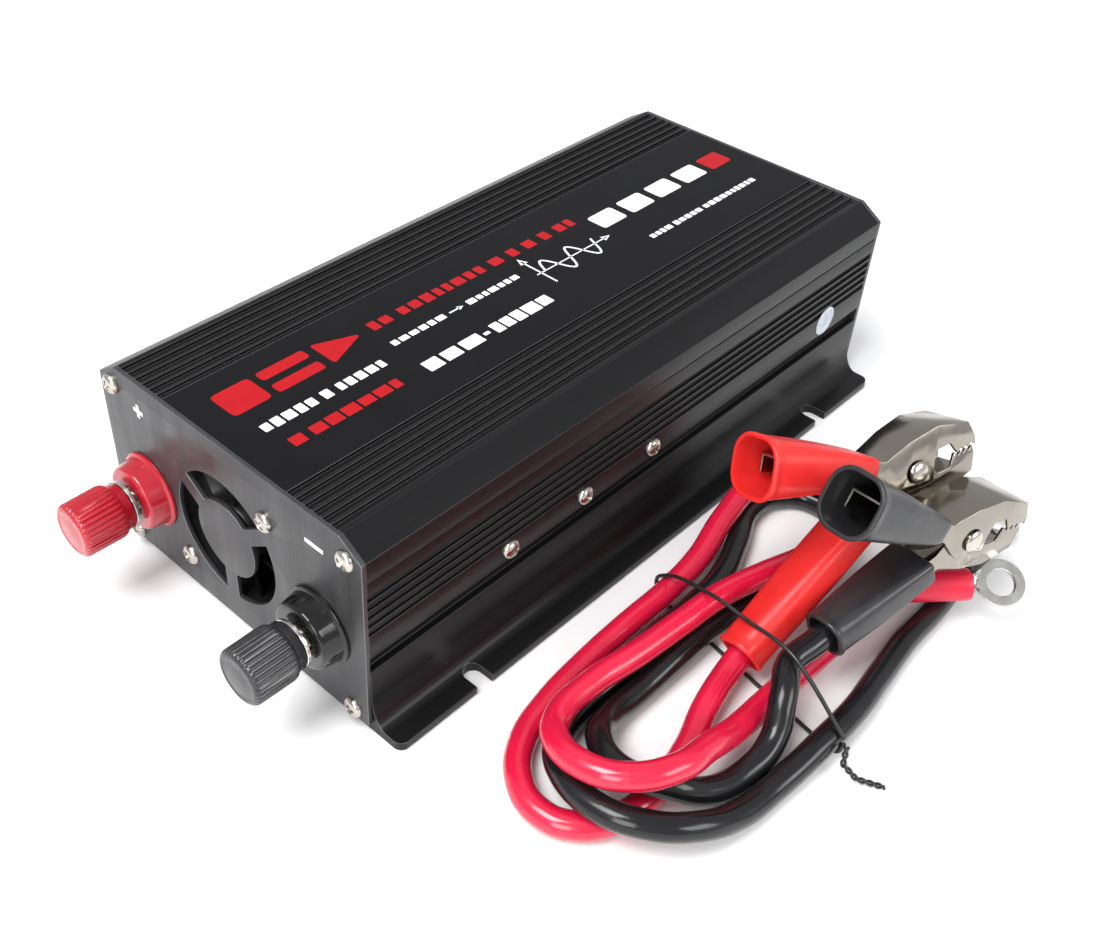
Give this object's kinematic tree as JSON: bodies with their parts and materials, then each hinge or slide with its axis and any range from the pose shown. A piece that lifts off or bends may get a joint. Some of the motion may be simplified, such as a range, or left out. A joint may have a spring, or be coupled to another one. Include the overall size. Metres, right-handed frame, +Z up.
{
  "type": "power inverter",
  "caption": "Power inverter in a finned case with a cooled end, screw-down battery posts, an AC socket end, and battery leads with spring clips",
  "frame": {"origin": "middle of the case's underside, on the surface it stands on", "axes": "+X along the case towards the socket end, the battery posts and fan are at -X, +Y across the case away from the leads, +Z up"},
  "size_m": [0.2804, 0.2404, 0.0728],
  "materials": {
    "case_anodised": "black anodised extrusion, satin, with bright ridge edges",
    "end_plate": "dark grey brushed and anodised sheet, satin",
    "label_film": "matte black printed film",
    "sticker": "pale silver paper sticker",
    "white_print": "white screen print",
    "screw_nickel": "nickel plated steel",
    "black_plastic": "moulded black plastic, satin",
    "fan_plastic": "moulded black plastic, satin",
    "red_gloss": "glossy slightly translucent red",
    "black_gloss": "glossy black",
    "knob_black": "satin black, worn pale on the flutes",
    "stud_metal": "plated brass",
    "nut_metal": "zinc plated steel",
    "washer_metal": "nickel plated steel",
    "board_green": "green glass-fibre board",
    "board_blue": "blue glass-fibre board",
    "standoff_brass": "turned brass",
    "ferrite": "dark grey ferrite, matte",
    "winding_tape": "yellow winding tape",
    "can_sleeve": "dark blue sleeve",
    "device_epoxy": "black moulding",
    "insulator": "pale grey insulating film",
    "bar_aluminium": "plain aluminium bar",
    "copper_winding": "enamelled copper wire",
    "fuse_orange": "orange fuse body",
    "wire_pvc": "stranded wire in PVC",
    "wire_brown": "wire in brown PVC",
    "contact_brass": "brass spring contact",
    "display_window": "dark tinted window",
    "rocker_red": "glossy red rocker",
    "port_metal": "plated steel shell",
    "cable_red": "glossy pinkish-red PVC",
    "cable_black": "glossy black PVC",
    "terminal_zinc": "tinned copper lug",
    "sleeve_red": "semi-matte red PVC sleeve",
    "sleeve_black": "semi-matte black PVC sleeve",
    "clip_nickel": "warm grey nickel plated sheet steel",
    "boot_red": "semi-matte coral red PVC",
    "boot_black": "satin dark grey PVC",
    "rivet_metal": "nickel plated steel rivet",
    "spring_steel": "spring steel wire",
    "tie_black": "thin black plastic coated wire"
  },
  "bodies": {
    "case": {"base_extrusion": "case_anodised", "top_shell": "case_anodised", "dc_end_plate": "end_plate", "ac_end_plate": "end_plate", "top_label": "label_film", "side_sticker": "sticker", "polarity_marks": "white_print", "dc_plate_screws": "screw_nickel", "ac_plate_screws": "screw_nickel", "side_screws": "screw_nickel", "fan_frame": "black_plastic", "fan_screws": "screw_nickel", "red_collar": "red_gloss", "black_collar": "black_gloss", "terminal_studs": "stud_metal", "stud_nuts": "nut_metal", "main_board": "board_green", "board_standoffs": "standoff_brass", "board_screws": "screw_nickel", "transformer_cores": "ferrite", "transformer_windings": "winding_tape", "input_capacitors": "can_sleeve", "bus_capacitors": "can_sleeve", "mosfets": "device_epoxy", "insulator_strips": "insulator", "clamp_bars": "bar_aluminium", "filter_choke": "copper_winding", "blade_fuses": "fuse_orange", "control_board": "board_blue", "dc_wires": "wire_pvc", "ac_wires": "wire_brown", "outlet": "black_plastic", "outlet_contacts": "contact_brass", "display": "display_window", "switch_bezel": "black_plastic", "usb_port": "port_metal"},
    "fan": {"fan_rotor": "fan_plastic"},
    "red_washer_body": {"red_washer": "washer_metal"},
    "red_knob_body": {"red_knob": "red_gloss"},
    "black_washer_body": {"black_washer": "washer_metal"},
    "black_knob_body": {"black_knob": "knob_black"},
    "rocker": {"switch_rocker": "rocker_red"},
    "lead_set": {"red_cable": "cable_red", "black_cable": "cable_black", "red_ring_terminal": "terminal_zinc", "black_ring_terminal": "terminal_zinc", "red_terminal_sleeve": "sleeve_red", "black_terminal_sleeve": "sleeve_black", "red_clip_lower": "clip_nickel", "red_boot_lower": "boot_red", "black_clip_lower": "clip_nickel", "black_boot_lower": "boot_black", "clip_rivets": "rivet_metal", "clip_springs": "spring_steel", "cable_tie": "tie_black"},
    "red_clip_top": {"red_clip_upper": "clip_nickel", "red_boot_upper": "boot_red"},
    "black_clip_top": {"black_clip_upper": "clip_nickel", "black_boot_upper": "boot_black"}
  },
  "joints": [
    {"name": "fan_spin", "type": "hinge", "parent": "case", "child": "fan", "pos_m": [-0.115, 0.002, 0.035], "axis": [1, 0, 0], "continuous": true},
    {"name": "red_washer_travel", "type": "slide", "parent": "case", "child": "red_washer_body", "axis": [-1, 0, 0], "range_m": [-0.00126, 0.00501]},
    {"name": "red_knob_turn", "type": "hinge", "parent": "red_washer_body", "child": "red_knob_body", "pos_m": [-0.14, 0.039, 0.031], "axis": [-1, 0, 0], "range_deg": [-360, 1440]},
    {"name": "black_washer_travel", "type": "slide", "parent": "case", "child": "black_washer_body", "axis": [-1, 0, 0], "range_m": [-0.00126, 0.00501]},
    {"name": "black_knob_turn", "type": "hinge", "parent": "black_washer_body", "child": "black_knob_body", "pos_m": [-0.14, -0.039, 0.031], "axis": [-1, 0, 0], "range_deg": [-360, 1440]},
    {"name": "rocker_tilt", "type": "hinge", "parent": "case", "child": "rocker", "pos_m": [0.1215, 0.014, 0.024], "axis": [0, 0, -1], "range_deg": [0, 18]},
    {"name": "leads_lift", "type": "slide", "parent": "case", "child": "lead_set", "axis": [0, 0, 1], "range_m": [0, 0.12]},
    {"name": "red_clip_open", "type": "hinge", "parent": "lead_set", "child": "red_clip_top", "pos_m": [0.0339, -0.123, 0.0448], "axis": [-0.2663, -0.8819, 0.3891], "range_deg": [0, 18], "stiffness_Nm_per_rad": 0.5, "springref_deg": -28.65},
    {"name": "black_clip_open", "type": "hinge", "parent": "lead_set", "child": "black_clip_top", "pos_m": [0.0326, -0.1444, 0.0343], "axis": [-0.2143, -0.9668, 0.1392], "range_deg": [0, 18], "stiffness_Nm_per_rad": 0.5, "springref_deg": -28.65}
  ],
  "couplings": [
    {"joint": "red_washer_travel", "follows": "red_knob_turn", "m_per_rad": 0.00019894},
    {"joint": "black_washer_travel", "follows": "black_knob_turn", "m_per_rad": 0.00019894}
  ]
}
